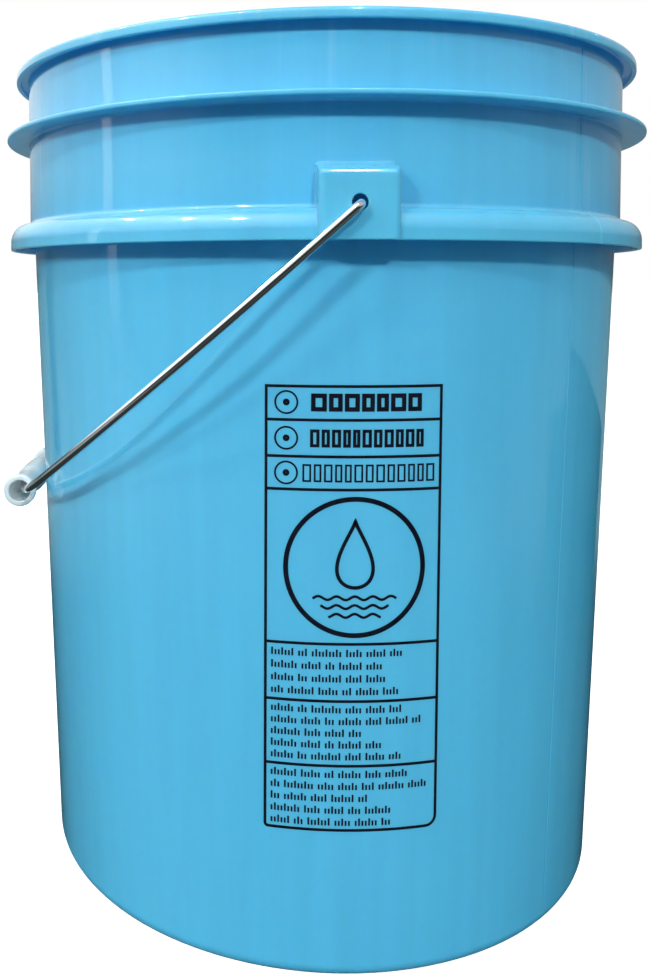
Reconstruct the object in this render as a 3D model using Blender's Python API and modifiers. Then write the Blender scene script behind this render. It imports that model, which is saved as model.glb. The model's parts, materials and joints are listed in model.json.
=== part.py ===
"""Plastic fermenting bucket: a moulded pail, a wire bail and a turned tube grip.

Metres, +Z up. The origin is the centre of the base. The two bail ears are on -Y
and +Y, and at rest the bail hangs down to -X with its grip against the wall.
"""
import math

import bmesh
import bpy
from mathutils import Matrix

# Pail, driving dimensions
HEIGHT = 0.372
WALL = 0.0022
BASE_R = 0.1306            # outside radius the wall would reach at z = 0
NECK_R = 0.1424            # outside radius of the tapered wall at the skirt's lower edge
UPPER_R = 0.1447           # outside radius of the wall just above the skirt
MOUTH_R = 0.1452           # outside radius of the wall under the rim
SKIRT_R = 0.1540
SKIRT_Z = 0.2875           # lower edge of the skirt
SKIRT_TOP_Z = 0.2999
FIN_R = 0.1555
FIN_Z = 0.3394             # underside of the fin
FIN_THICK = 0.0022
RIM_R = 0.1510
RIM_DROP = 0.0043          # height of the rim's outer lip
FLOOR_Z = 0.0046           # inside floor
RECESS_Z = 0.0022          # underside of the floor, inside the foot ring
CORNER_R = 0.0070          # outside radius of the bottom corner
INNER_CORNER_R = 0.0050
FOOT_IN_R = 0.1190         # inner edge of the flat foot ring
GATE_R = 0.0030            # moulding gate stub under the floor
GATE_Z = 0.0014
PAIL_SIDES = 60

# Gussets inside the skirt
GUSSETS = 24
GUSSET_THICK = 0.0016
GUSSET_Z = 0.2900

# Ears
EAR_HALF_WIDTH = 0.01485
EAR_FACE = 0.1560          # distance of the ear's flat face from the pail's axis
EAR_WALL = 0.0022
EAR_TOP_FRONT = 0.3130
EAR_TOP_BACK = 0.3165
EAR_ROUND = 0.0028
EAR_BOTTOM = SKIRT_Z + 0.00015
POCKET_HALF_WIDTH = 0.0126
POCKET_TOP = 0.3115
POCKET_BACK = 0.1456
POCKET_LOW_BACK = 0.1430
HOLE_R = 0.0030

# Bail
BAIL_AXIS_Z = 0.3002
HOLE_Z = BAIL_AXIS_Z + 0.0008   # the wire lies low in its hole
WIRE_R = 0.0018
BAIL_HALF_WIDTH = 0.160
BAIL_LEG = 0.036           # straight part of each leg
BEND_R = 0.003             # centre-line radius of the two bends at each ear
PIN_OUT = BAIL_HALF_WIDTH - BEND_R
HOOK_Y = 0.1499            # the hook leg's distance from the pail's axis
HOOK_REACH = 0.008
BAIL_REST_DEG = 41.5       # how far the bail hangs below level at rest
ARC_STEPS = 44

# Grip
GRIP_HALF = 0.040
GRIP_R = 0.0077
GRIP_BORE_R = 0.0051
GRIP_OUT = 0.19346         # the grip's axis from the bail's axis
GRIP_LIFT = 0.0012         # the grip's axis above the bail's plane at rest
GRIP_SIDES = 28

MERGE = 0.00001


def clear_scene():
    for obj in list(bpy.data.objects):
        bpy.data.objects.remove(obj, do_unlink=True)


def new_collection(name):
    collection = bpy.data.collections.new(name)
    bpy.context.scene.collection.children.link(collection)
    return collection


def material(name, colour, roughness, metallic):
    mat = bpy.data.materials.new(name)
    mat.use_nodes = True
    shader = mat.node_tree.nodes["Principled BSDF"]
    shader.inputs["Base Color"].default_value = (*colour, 1.0)
    shader.inputs["Roughness"].default_value = roughness
    shader.inputs["Metallic"].default_value = metallic
    return mat


def mesh_object(name, mesh, collection):
    obj = bpy.data.objects.new(name, mesh)
    collection.objects.link(obj)
    return obj


def arc(centre, radius, start_deg, end_deg, steps):
    """Points on an arc, both ends included."""
    points = []
    for i in range(steps + 1):
        angle = math.radians(start_deg + (end_deg - start_deg) * i / steps)
        points.append((centre[0] + radius * math.cos(angle), centre[1] + radius * math.sin(angle)))
    return points


def apply_modifiers(obj):
    """Replace an object's mesh by its evaluated mesh."""
    depsgraph = bpy.context.evaluated_depsgraph_get()
    mesh = bpy.data.meshes.new_from_object(obj.evaluated_get(depsgraph))
    obj.modifiers.clear()
    obj.data = mesh


def turned(name, profile, sides, collection, closed=False):
    """Turn a profile of (radius, z) points about Z; it runs down its outer side."""
    bm = bmesh.new()
    verts = [bm.verts.new((r, 0.0, z)) for r, z in profile]
    for a, b in zip(verts, verts[1:]):
        bm.edges.new((a, b))
    if closed:
        bm.edges.new((verts[-1], verts[0]))
    mesh = bpy.data.meshes.new(name)
    bm.to_mesh(mesh)
    bm.free()
    obj = mesh_object(name, mesh, collection)
    screw = obj.modifiers.new("Turn", "SCREW")
    screw.angle = math.tau
    screw.axis = "Z"
    screw.steps = sides
    screw.render_steps = sides
    screw.use_merge_vertices = True
    screw.merge_threshold = MERGE
    screw.use_smooth_shade = False
    apply_modifiers(obj)
    return obj


def prism(name, outline, thickness, collection):
    """A flat outline of (y, z) points, made into a plate across X with a 2D curve."""
    curve = bpy.data.curves.new(name, "CURVE")
    curve.dimensions = "2D"
    curve.fill_mode = "BOTH"
    curve.extrude = thickness / 2
    spline = curve.splines.new("POLY")
    spline.points.add(len(outline) - 1)
    for point, (y, z) in zip(spline.points, outline):
        point.co = (y, z, 0.0, 1.0)
    spline.use_cyclic_u = True
    source = mesh_object(name + "_outline", curve, collection)
    source.rotation_euler = (math.pi / 2, 0.0, math.pi / 2)
    bpy.context.view_layer.update()
    depsgraph = bpy.context.evaluated_depsgraph_get()
    mesh = bpy.data.meshes.new_from_object(source.evaluated_get(depsgraph))
    mesh.transform(source.matrix_world)
    bpy.data.objects.remove(source, do_unlink=True)
    bm = bmesh.new()
    bm.from_mesh(mesh)
    bmesh.ops.remove_doubles(bm, verts=bm.verts, dist=MERGE)
    bmesh.ops.recalc_face_normals(bm, faces=bm.faces)
    bm.to_mesh(mesh)
    bm.free()
    return mesh_object(name, mesh, collection)


def turned_copies(obj, angles_deg):
    """Join copies of an object, each turned about Z, into its own mesh."""
    bm = bmesh.new()
    for angle in angles_deg:
        copy = obj.data.copy()
        copy.transform(Matrix.Rotation(math.radians(angle), 4, "Z"))
        bm.from_mesh(copy)
        bpy.data.meshes.remove(copy)
    bm.to_mesh(obj.data)
    bm.free()


def boolean(target, tool, operation):
    """Apply a Boolean and keep the tool as a hidden wire guide."""
    modifier = target.modifiers.new(tool.name, "BOOLEAN")
    modifier.operation = operation
    modifier.solver = "EXACT"
    modifier.object = tool
    apply_modifiers(target)
    tool.hide_render = True
    tool.display_type = "WIRE"


def lower_wall_r(z):
    """Outside radius of the tapered wall below the skirt."""
    return BASE_R + (NECK_R - BASE_R) * z / SKIRT_Z


def outer_profile():
    """The pail's outside as a solid, from the middle of its mouth to the gate stub."""
    rim_low = HEIGHT - RIM_DROP
    rim_web = HEIGHT - WALL
    rim = [
        (0.0, HEIGHT),
        (RIM_R - 0.0016, HEIGHT),
        (RIM_R - 0.0005, HEIGHT - 0.0005),
        (RIM_R, HEIGHT - 0.0016),
        (RIM_R, rim_low + 0.0005),
        (RIM_R - 0.0005, rim_low),
        (RIM_R - 0.0020, rim_low),
        (RIM_R - 0.0021, rim_web - 0.0006),
        (RIM_R - 0.0027, rim_web),
        (MOUTH_R + 0.0008, rim_web),
        (MOUTH_R, rim_web - 0.0008),
    ]
    fin_top = FIN_Z + FIN_THICK
    fin = [
        (MOUTH_R - 0.0001, fin_top + 0.0010),
        (MOUTH_R + 0.0009, fin_top),
        (FIN_R - 0.0008, fin_top - 0.0001),
        (FIN_R, fin_top - 0.0008),
        (FIN_R, FIN_Z + 0.0006),
        (FIN_R - 0.0006, FIN_Z),
        (UPPER_R + 0.0012, FIN_Z - 0.0001),
        (UPPER_R + 0.0003, FIN_Z - 0.0010),
    ]
    skirt = [
        (UPPER_R, SKIRT_TOP_Z + 0.0019),
        (UPPER_R + 0.0006, SKIRT_TOP_Z + 0.0006),
        (UPPER_R + 0.0021, SKIRT_TOP_Z),
        (SKIRT_R - 0.0045, SKIRT_TOP_Z - 0.0007),
        (SKIRT_R - 0.0023, SKIRT_TOP_Z - 0.0024),
        (SKIRT_R - 0.0010, SKIRT_TOP_Z - 0.0050),
        (SKIRT_R - 0.0002, SKIRT_TOP_Z - 0.0083),
        (SKIRT_R, SKIRT_Z + 0.0007),
        (SKIRT_R - 0.0005, SKIRT_Z),
        (SKIRT_R - 0.0019, SKIRT_Z),
        (SKIRT_R - 0.0024, SKIRT_Z + 0.0040),
        (SKIRT_R - 0.0032, SKIRT_Z + 0.0065),
        (SKIRT_R - 0.0048, SKIRT_Z + 0.0085),
        (SKIRT_R - 0.0070, SKIRT_Z + 0.0094),
        (NECK_R + 0.0012, SKIRT_Z + 0.0095),
        (NECK_R + 0.0004, SKIRT_Z + 0.0087),
        (NECK_R, SKIRT_Z),
    ]
    corner_centre = (lower_wall_r(CORNER_R) - CORNER_R, CORNER_R)
    bottom = arc(corner_centre, CORNER_R, 0.0, -90.0, 4)
    bottom += [
        (FOOT_IN_R, 0.0),
        (FOOT_IN_R - 0.0016, RECESS_Z),
        (GATE_R + 0.0005, RECESS_Z),
        (GATE_R, GATE_Z),
        (0.0, GATE_Z),
    ]
    return rim + fin + skirt + bottom


def core_profile():
    """The pail's inside as a cutter, from above the mouth to the floor."""
    corner_z = FLOOR_Z + INNER_CORNER_R
    corner_r = lower_wall_r(corner_z) - WALL
    above = 0.008
    return [
        (0.0, HEIGHT + above),
        (MOUTH_R, HEIGHT + above),
        (MOUTH_R, HEIGHT + 0.0004),
        (MOUTH_R - 0.0018, HEIGHT - 0.0004),
        (MOUTH_R - WALL, HEIGHT - 0.0012),
        (UPPER_R - WALL, SKIRT_TOP_Z - 0.0004),
        (NECK_R - WALL + 0.0003, SKIRT_Z + 0.0065),
        (NECK_R - WALL, SKIRT_Z),
    ] + arc((corner_r - INNER_CORNER_R, corner_z), INNER_CORNER_R, 0.0, -90.0, 3) + [(0.0, FLOOR_Z)]


def gusset_outline():
    """A gusset's (radius, z) outline; its edges are buried in the skirt and the wall."""
    return [
        (NECK_R - 0.0008, GUSSET_Z),
        (SKIRT_R - 0.0013, GUSSET_Z),
        (SKIRT_R - 0.0013, SKIRT_Z + 0.0055),
        (SKIRT_R - 0.0028, SKIRT_Z + 0.0081),
        (SKIRT_R - 0.0050, SKIRT_Z + 0.0103),
        (NECK_R - 0.0008, SKIRT_Z + 0.0107),
    ]


def ear_boss(collection):
    """A block on the +Y side with its outer and upper edges rounded."""
    bm = bmesh.new()
    bmesh.ops.create_cube(bm, size=1.0)
    depth = 0.025
    for vert in bm.verts:
        front = vert.co.y > 0
        top = vert.co.z > 0
        vert.co.x = math.copysign(EAR_HALF_WIDTH, vert.co.x)
        vert.co.y = EAR_FACE if front else EAR_FACE - depth
        vert.co.z = EAR_BOTTOM
        if top:
            vert.co.z = EAR_TOP_FRONT if front else EAR_TOP_BACK + (EAR_TOP_BACK - EAR_TOP_FRONT)
    rounded = []
    for edge in bm.edges:
        a, b = edge.verts
        on_face = a.co.y == EAR_FACE and b.co.y == EAR_FACE
        at_bottom = a.co.z == EAR_BOTTOM and b.co.z == EAR_BOTTOM
        on_top = a.co.z > EAR_BOTTOM and b.co.z > EAR_BOTTOM and a.co.y != b.co.y
        if (on_face and not at_bottom) or on_top:
            rounded.append(edge)
    bmesh.ops.bevel(bm, geom=rounded, offset=EAR_ROUND, segments=3, profile=0.5, affect="EDGES")
    bmesh.ops.recalc_face_normals(bm, faces=bm.faces)
    mesh = bpy.data.meshes.new("ear_bosses")
    bm.to_mesh(mesh)
    bm.free()
    return mesh_object("ear_bosses", mesh, collection)


def pocket_outline():
    """The (y, z) outline of the pocket behind an ear's face, open at the bottom."""
    front = EAR_FACE - EAR_WALL
    below = SKIRT_Z - 0.002
    step_z = SKIRT_Z + 0.0085
    return [
        (POCKET_LOW_BACK, below),
        (front, below),
        (front, POCKET_TOP - 0.002),
        (front - 0.002, POCKET_TOP),
        (POCKET_BACK, POCKET_TOP),
        (POCKET_BACK, step_z + 0.0015),
        (POCKET_LOW_BACK, step_z),
    ]


def pin_holes(collection):
    """One drill that passes through both ears' faces but not the pail's wall."""
    bm = bmesh.new()
    bmesh.ops.create_cone(bm, cap_ends=True, segments=20, radius1=HOLE_R, radius2=HOLE_R, depth=0.008)
    mesh = bpy.data.meshes.new("pin_holes")
    bm.to_mesh(mesh)
    bm.free()
    mesh.transform(Matrix.Rotation(math.pi / 2, 4, "X"))
    mesh.transform(Matrix.Translation((0.0, EAR_FACE - EAR_WALL / 2, HOLE_Z)))
    return mesh_object("pin_holes", mesh, collection)


def make_pail(parts, cutters, plastic):
    pail = turned("pail", outer_profile(), PAIL_SIDES, parts)
    gussets = prism("gussets", gusset_outline(), GUSSET_THICK, cutters)
    pitch = 360.0 / GUSSETS
    turned_copies(gussets, [pitch * (i + 0.5) for i in range(GUSSETS)])
    boolean(pail, gussets, "UNION")
    both_ears = (0.0, 180.0)
    bosses = ear_boss(cutters)
    turned_copies(bosses, both_ears)
    boolean(pail, bosses, "UNION")
    pockets = prism("ear_pockets", pocket_outline(), 2 * POCKET_HALF_WIDTH, cutters)
    turned_copies(pockets, both_ears)
    boolean(pail, pockets, "DIFFERENCE")
    holes = pin_holes(cutters)
    turned_copies(holes, both_ears)
    boolean(pail, holes, "DIFFERENCE")
    core = turned("pail_core", core_profile(), PAIL_SIDES, cutters)
    boolean(pail, core, "DIFFERENCE")
    smooth(pail)
    pail.data.materials.clear()
    pail.data.materials.append(plastic)
    return pail


def smooth(obj):
    obj.data.shade_smooth()
    obj.data.set_sharp_from_angle(angle=math.radians(35.0))


def bail_half():
    """The wire's centre line from the hook's end to the top of one leg, on the +Y side."""
    hook = [(HOOK_REACH, HOOK_Y, 0.0)]
    for x, y in arc((BEND_R, HOOK_Y + BEND_R), BEND_R, -90.0, -180.0, 3):
        hook.append((x, y, 0.0))
    bend = []
    for y, z in arc((PIN_OUT, BEND_R), BEND_R, -90.0, 0.0, 4):
        bend.append((0.0, y, z))
    return hook + bend


def bail_path():
    """Hook, pin, straight leg, half circle, and the same on the other side."""
    near = bail_half()
    crown = []
    for y, z in arc((0.0, BAIL_LEG), BAIL_HALF_WIDTH, 0.0, 180.0, ARC_STEPS):
        crown.append((0.0, y, z))
    far = [(x, -y, z) for x, y, z in reversed(near)]
    return near + crown + far


def make_bail(parts, steel):
    """The wire, with its origin on the ears' axis and its crown towards local +Z."""
    path = bail_path()
    curve = bpy.data.curves.new("bail_wire", "CURVE")
    curve.dimensions = "3D"
    curve.bevel_depth = WIRE_R
    curve.bevel_resolution = 2
    curve.use_fill_caps = True
    spline = curve.splines.new("POLY")
    spline.points.add(len(path) - 1)
    for point, place in zip(spline.points, path):
        point.co = (*place, 1.0)
    curve.materials.append(steel)
    bail = mesh_object("bail", curve, parts)
    bail.location = (0.0, 0.0, BAIL_AXIS_Z)
    bail.rotation_euler = (0.0, -math.radians(90.0 + BAIL_REST_DEG), 0.0)
    return bail


def grip_profile():
    """The grip's closed section: end flanges, two waists and a barrel, then the bore."""
    half = [
        (GRIP_R - 0.0006, GRIP_HALF),
        (GRIP_R, GRIP_HALF - 0.0008),
        (GRIP_R, GRIP_HALF - 0.0035),
        (GRIP_R - 0.0009, GRIP_HALF - 0.0055),
        (GRIP_R - 0.0015, GRIP_HALF - 0.0095),
        (GRIP_R - 0.0014, GRIP_HALF - 0.0150),
        (GRIP_R - 0.0007, GRIP_HALF - 0.0210),
        (GRIP_R - 0.0002, GRIP_HALF - 0.0280),
        (GRIP_R - 0.0001, GRIP_HALF - 0.0360),
    ]
    outside = half + [(r, -z) for r, z in reversed(half)]
    lead_in = 0.0006
    bore = [
        (GRIP_BORE_R + lead_in, -GRIP_HALF),
        (GRIP_BORE_R, -GRIP_HALF + lead_in),
        (GRIP_BORE_R, GRIP_HALF - lead_in),
        (GRIP_BORE_R + lead_in, GRIP_HALF),
    ]
    return outside + bore


def make_grip(parts, bail, white):
    """The tube that turns freely on the crown of the bail."""
    grip = turned("grip", grip_profile(), GRIP_SIDES, parts, closed=True)
    smooth(grip)
    grip.data.materials.append(white)
    grip.parent = bail
    grip.location = (GRIP_LIFT, 0.0, GRIP_OUT)
    grip.rotation_euler = (math.pi / 2, 0.0, 0.0)
    return grip


def main():
    clear_scene()
    parts = new_collection("fermenting_bucket")
    cutters = new_collection("cutters")
    plastic = material("blue_plastic", (0.08, 0.47, 0.83), 0.25, 0.0)
    steel = material("bright_wire", (0.72, 0.73, 0.74), 0.18, 1.0)
    white = material("white_plastic", (0.86, 0.89, 0.90), 0.35, 0.0)
    make_pail(parts, cutters, plastic)
    bail = make_bail(parts, steel)
    make_grip(parts, bail, white)


main()
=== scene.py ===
"""Looks for the plastic fermenting bucket: moulded pail, wire bail, tube grip and print.

Metres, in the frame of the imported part. The origin is the centre of the base, the two
bail ears are on -Y and +Y, and at rest the bail hangs towards -X.
"""

import json
import math

import bmesh
import bpy
from mathutils import Matrix, Vector


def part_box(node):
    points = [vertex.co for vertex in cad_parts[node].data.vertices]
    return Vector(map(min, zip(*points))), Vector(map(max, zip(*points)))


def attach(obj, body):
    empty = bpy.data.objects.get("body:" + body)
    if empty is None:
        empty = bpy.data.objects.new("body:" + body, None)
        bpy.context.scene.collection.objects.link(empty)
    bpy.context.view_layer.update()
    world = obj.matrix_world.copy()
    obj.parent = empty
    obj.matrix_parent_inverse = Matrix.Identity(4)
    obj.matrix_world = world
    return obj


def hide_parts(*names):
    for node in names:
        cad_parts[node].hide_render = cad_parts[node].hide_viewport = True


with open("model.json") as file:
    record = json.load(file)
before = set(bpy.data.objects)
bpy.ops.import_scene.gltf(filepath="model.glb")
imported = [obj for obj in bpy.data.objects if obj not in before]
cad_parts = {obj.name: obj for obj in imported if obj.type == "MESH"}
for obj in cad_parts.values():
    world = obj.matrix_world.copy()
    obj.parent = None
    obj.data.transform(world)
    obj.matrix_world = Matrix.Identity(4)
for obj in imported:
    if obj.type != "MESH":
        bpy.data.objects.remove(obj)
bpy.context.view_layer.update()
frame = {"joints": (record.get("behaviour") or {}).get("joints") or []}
pail_low, pail_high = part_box("pail")
joints = {joint["name"]: joint for joint in frame["joints"]}

# Pail, as in the CAD part
HEIGHT = pail_high.z
WALL = 0.0022
BASE_R = 0.1306            # outside radius the wall would reach at z = 0
NECK_R = 0.1424            # outside radius of the tapered wall at the skirt's lower edge
UPPER_R = 0.1447           # outside radius of the wall just above the skirt
MOUTH_R = 0.1452
SKIRT_R = 0.1540
SKIRT_Z = 0.2875
SKIRT_TOP_Z = 0.2999
SHOULDER_WIDE = 0.0068     # half axes of the skirt's round shoulder
SHOULDER_TALL = 0.0083
SKIRT_ROUND = 0.0006       # of the skirt's lower edge, outside
FIN_R = 0.1555
FIN_Z = 0.3394
FIN_THICK = 0.0022
RIM_R = 0.1510
RIM_DROP = 0.0043
FLOOR_Z = 0.0046
RECESS_Z = 0.0022
CORNER_R = 0.0070
INNER_CORNER_R = 0.0050
FOOT_IN_R = 0.1190
GATE_R = 0.0030
GATE_Z = 0.0014
GUSSETS = 24
GUSSET_THICK = 0.0016
GUSSET_Z = 0.2900

# Ears
EAR_FACE = pail_high.y     # distance of an ear's flat face from the pail's axis
EAR_HALF_WIDTH = 0.01485
EAR_WALL = 0.0022
EAR_TOP_FRONT = 0.3130
EAR_TOP_BACK = 0.3165
EAR_ROUND = 0.0028
EAR_FILLET = 0.0010        # hollow fillet where an ear's side meets the wall
EAR_SOFT = 0.0006          # width of the soft change from an ear's top to the wall
EAR_SIDE_FULL = 0.0015     # an ear's side less deep than this is part spread along the wall
EAR_CLEAR = 0.0025         # the wall is plain from this far above an ear
POCKET_HALF_WIDTH = 0.0126
POCKET_TOP = 0.3115
POCKET_BACK = 0.1452
POCKET_STEP_Z = SKIRT_Z + 0.0100
EAR_SPAN_DEG = 9.0         # half the arc that is meshed finely for an ear
HOLE_R = 0.0030
HOLE_ROUND = 0.0004

# Parting line of the two mould halves, a fine groove
PARTING_DEG = 41.3         # measured from the -Y ear towards +X
PARTING_DEEP = 0.00055
PARTING_HALF_WIDTH = 0.00055

# Bail
AXIS_Z = joints["bail_swing"]["pos_m"][2]
HOLE_Z = AXIS_Z + 0.0008
WIRE_R = 0.0018
BAIL_HALF_WIDTH = 0.160
BAIL_LEG = 0.036
BEND_R = 0.003
PIN_OUT = BAIL_HALF_WIDTH - BEND_R
HOOK_Y = 0.1499
HOOK_REACH = 0.008
BAIL_REST_DEG = 41.5
CUT_SHARE = 0.72           # radius of the wire's cut ends, as a share of its own

# Grip
GRIP_HALF = 0.040
GRIP_R = 0.0077
GRIP_BORE_R = 0.0051

# Printed panel on the wall below the -Y ear
PRINT_LEFT = -0.0334       # along the wall
PRINT_RIGHT = 0.0346
PRINT_LOW_Z = 0.0606
PRINT_TOP_Z = 0.2339
PRINT_THICK = 0.00006      # how far the ink stands proud of the wall, and how deep it starts
PRINT_SINK = 0.00006
PRINT_RULES_Z = (0.2206, 0.2067, 0.1941, 0.1346, 0.1122, 0.0867)  # lines between the rows
PRINT_STROKE = 0.0011      # of the outline and of those lines
PRINT_STEP = 0.004         # longest straight stretch, so that strokes follow the wall
PRINT_RING_Z = 0.1643
PRINT_RING_ALONG = 0.0011
PRINT_RING_R = 0.0263
PRINT_RING_STROKE = 0.0019
BULLET_ALONG = -0.0252
BULLET_R = 0.0042
BOX_HALF_HEIGHT = 0.0034

# Camera
CAMERA_PLACE = (-0.0506, -0.5052, 0.2718)
CAMERA_PITCH = 0.025       # radians below level
CAMERA_HEADING = -0.0008
CAMERA_LENS = 36.15
CAMERA_SHIFT = (0.109, -0.184)

# Lamps, each as azimuth from -Y towards +X, elevation and watts
LAMPS = (                  # soft lamps that light the object
    (8.0, 32.0, 27.0),
    (-37.0, 27.0, 21.0),
    (-58.0, 23.0, 8.6),
    (-80.0, 21.0, 6.8),
)
LAMP_TINT = (1.0, 0.85, 0.86)
LAMP_TARGET = (0.0, 0.0, 0.24)
LAMP_DISTANCE = 2.4
LAMP_ACROSS = 0.20
GLINTS = (                 # small lamps that only gloss shows
    (11.5, 52.0, 24.0),
    (-40.0, 52.0, 24.0),
    (-65.0, 51.0, 26.0),
    (-100.0, 48.0, 18.0),
)
GLINT_ACROSS = 0.12

# Floor: it looks pale, and gives back less than that to the object
FLOOR_R = 30.0
FLOOR_GAP = 0.0002         # kept below the foot ring
FLOOR_GLOW = 0.80          # lifts the floor towards white where the lamps don't reach
FLOOR_BOUNCE = (0.24, 0.43, 0.46)  # its colour to soft light near the pail
FLOOR_DARK = (0.03, 0.05, 0.05)    # and far from it
FLOOR_NEAR = 0.03          # how pale gloss finds it near the pail and far out in front
FLOOR_FAR = 0.30           # and how pale far out to the sides and behind
FLOOR_FADE = (0.42, 0.70)  # distances from the pail's axis where near ends and far starts
FLOOR_FRONT = (-0.60, -0.25)       # places along Y where the front ends

# World: a dim room for soft light, and a sky that only gloss shows
ROOM_TINT = (0.62, 0.95, 1.0)
ROOM_DIM = 0.10            # light from all round, from overhead, from behind and from the right
ROOM_OVERHEAD = 0.70
ROOM_BEHIND = 0.60
ROOM_RIGHT = 0.45
SKY_TINT = (0.93, 0.97, 1.0)
SKY_DIM = 0.07             # dim below, brighter above, most on the left, dark in front
SKY_ALL = 0.45
SKY_LEFT = 0.85
SKY_FRONT = 0.92

# Bright strip: its glow grows between two heights
STRIP_RISE = (0.03, 0.60)
STRIP_GLOW = 2.8
CARD_STEPS = 24

WHITE = (1.0, 1.0, 1.0)
BLACK = (0.0, 0.0, 0.0)

# Meshes
SMOOTH_DEG = 32.0          # a sharper edge than this stays sharp
MERGE = 0.00001
SLIVER = 0.000002
TURN_DEG = 2.2             # longest step round the pail between its ears
UNDER_STEPS = 45           # steps of the skin under the skirt and inside the ears
HOLE_SIDES = 48
GRIP_SIDES = 72
FACE_COLUMNS = 7           # columns of the skin over half an ear, from its middle outwards
CORNER_COLUMNS = 9
SIDE_COLUMNS = 7
FILLET_COLUMNS = 4
BLEND_COLUMNS = 6


def mesh_object(name, mesh):
    obj = bpy.data.objects.new(name, mesh)
    bpy.context.scene.collection.objects.link(obj)
    return obj


def built(bm, name, outward=True):
    """A bmesh as a new object, its faces turned outward unless it is open."""
    if outward:
        bmesh.ops.recalc_face_normals(bm, faces=bm.faces)
    mesh = bpy.data.meshes.new(name)
    bm.to_mesh(mesh)
    bm.free()
    return mesh_object(name, mesh)


def join_rings(bm, a, b):
    """Four-sided faces between two rings of as many vertices."""
    for k in range(len(a)):
        n = (k + 1) % len(a)
        bm.faces.new((a[k], a[n], b[n], b[k]))


def finish_mesh(obj, mat):
    """Smooth shading with the true edges left sharp, and one material."""
    obj.data.shade_smooth()
    obj.data.set_sharp_from_angle(angle=math.radians(SMOOTH_DEG))
    obj.data.materials.clear()
    obj.data.materials.append(mat)


def lerp(a, b, share):
    return a + (b - a) * share


def arc(centre, radius, start_deg, end_deg, steps, tall=None):
    """Points on an arc, or on part of an ellipse if tall is its other half axis."""
    tall = radius if tall is None else tall
    points = []
    for i in range(steps + 1):
        angle = math.radians(lerp(start_deg, end_deg, i / steps))
        points.append((centre[0] + radius * math.cos(angle), centre[1] + tall * math.sin(angle)))
    return points


def rounded(corners, step_deg=12.0):
    """A path through (u, v, radius) corners, each turned into an arc of that radius."""
    points = []
    for i, (u, v, radius) in enumerate(corners):
        corner = Vector((u, v))
        if not radius:
            points.append((u, v))
            continue
        back = (Vector(corners[i - 1][:2]) - corner).normalized()
        ahead = (Vector(corners[i + 1][:2]) - corner).normalized()
        half = back.angle(ahead) / 2
        centre = corner + (back + ahead).normalized() * radius / math.sin(half)
        start = corner + back * radius / math.tan(half) - centre
        end = corner + ahead * radius / math.tan(half) - centre
        turn = math.atan2(start.x * end.y - start.y * end.x, start.dot(end))
        steps = max(2, math.ceil(abs(math.degrees(turn)) / step_deg))
        for k in range(steps + 1):
            spin = Matrix.Rotation(turn * k / steps, 2)
            points.append(tuple(centre + spin @ start))
    return points


def refined(points, longest):
    """The same path with no stretch longer than a length."""
    result = [points[0]]
    for a, b in zip(points, points[1:]):
        steps = max(1, math.ceil(math.dist(a, b) / longest))
        for k in range(1, steps + 1):
            result.append((lerp(a[0], b[0], k / steps), lerp(a[1], b[1], k / steps)))
    return result


def resampled(points, count):
    """The same path as count evenly spaced points, ends included."""
    lengths = [0.0]
    for a, b in zip(points, points[1:]):
        lengths.append(lengths[-1] + math.dist(a, b))
    result = []
    k = 0
    for i in range(count):
        want = lengths[-1] * i / (count - 1)
        while k < len(points) - 2 and lengths[k + 1] < want:
            k += 1
        share = (want - lengths[k]) / (lengths[k + 1] - lengths[k])
        a, b = points[k], points[k + 1]
        result.append((lerp(a[0], b[0], share), lerp(a[1], b[1], share)))
    return result


def lower_wall_r(z):
    """Outside radius of the tapered wall below the skirt."""
    return lerp(BASE_R, NECK_R, z / SKIRT_Z)


def inside_path():
    """From the middle of the inside floor up to the mouth's inner edge."""
    floor_corner_r = lower_wall_r(FLOOR_Z) - WALL
    return rounded([
        (0.030, FLOOR_Z, 0.0),
        (floor_corner_r, FLOOR_Z, INNER_CORNER_R),
        (NECK_R - WALL, SKIRT_Z, 0.0),
        (NECK_R - WALL + 0.0003, SKIRT_Z + 0.0065, 0.004),
        (UPPER_R - WALL, SKIRT_TOP_Z - 0.0004, 0.004),
        (MOUTH_R - WALL, HEIGHT - 0.0030, 0.0),
    ])


def rim_path():
    """Over the rim and down the wall to the top of the ears' part."""
    lip = 0.0021
    web_z = HEIGHT - WALL
    fin_top = FIN_Z + FIN_THICK
    return rounded([
        (MOUTH_R - WALL, HEIGHT - 0.0030, 0.0),
        (MOUTH_R - WALL, HEIGHT, 0.0016),
        (RIM_R, HEIGHT, 0.0017),
        (RIM_R, HEIGHT - RIM_DROP, 0.0006),
        (RIM_R - lip, HEIGHT - RIM_DROP, 0.0004),
        (RIM_R - lip, web_z, 0.0007),
        (MOUTH_R, web_z, 0.0009),
        (MOUTH_R - 0.0001, fin_top, 0.0011),
        (FIN_R, fin_top, 0.0009),
        (FIN_R, FIN_Z, 0.0007),
        (UPPER_R + 0.0002, FIN_Z, 0.0011),
        (UPPER_R + 0.0001, EAR_TOP_BACK + 0.004, 0.0),
    ])


def skirt_path():
    """The wall and the skirt over the ears' height, from the top to the skirt's lower edge."""
    shoulder = (SKIRT_R - SHOULDER_WIDE, SKIRT_TOP_Z - SHOULDER_TALL - 0.0003)
    wall = rounded([
        (UPPER_R + 0.0001, EAR_TOP_BACK + 0.004, 0.0),
        (UPPER_R, SKIRT_TOP_Z, 0.0018),
        (shoulder[0], SKIRT_TOP_Z - 0.0003, 0.0),
    ])[:-1]
    round_part = arc(shoulder, SHOULDER_WIDE, 88.0, 4.0, 14, tall=SHOULDER_TALL)
    edge = rounded([
        round_part[-1] + (0.0,),
        (SKIRT_R, SKIRT_Z, SKIRT_ROUND),
        (SKIRT_R - 0.0010, SKIRT_Z, 0.0),
    ])
    return refined(wall + round_part + edge[1:], 0.0004)


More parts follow.
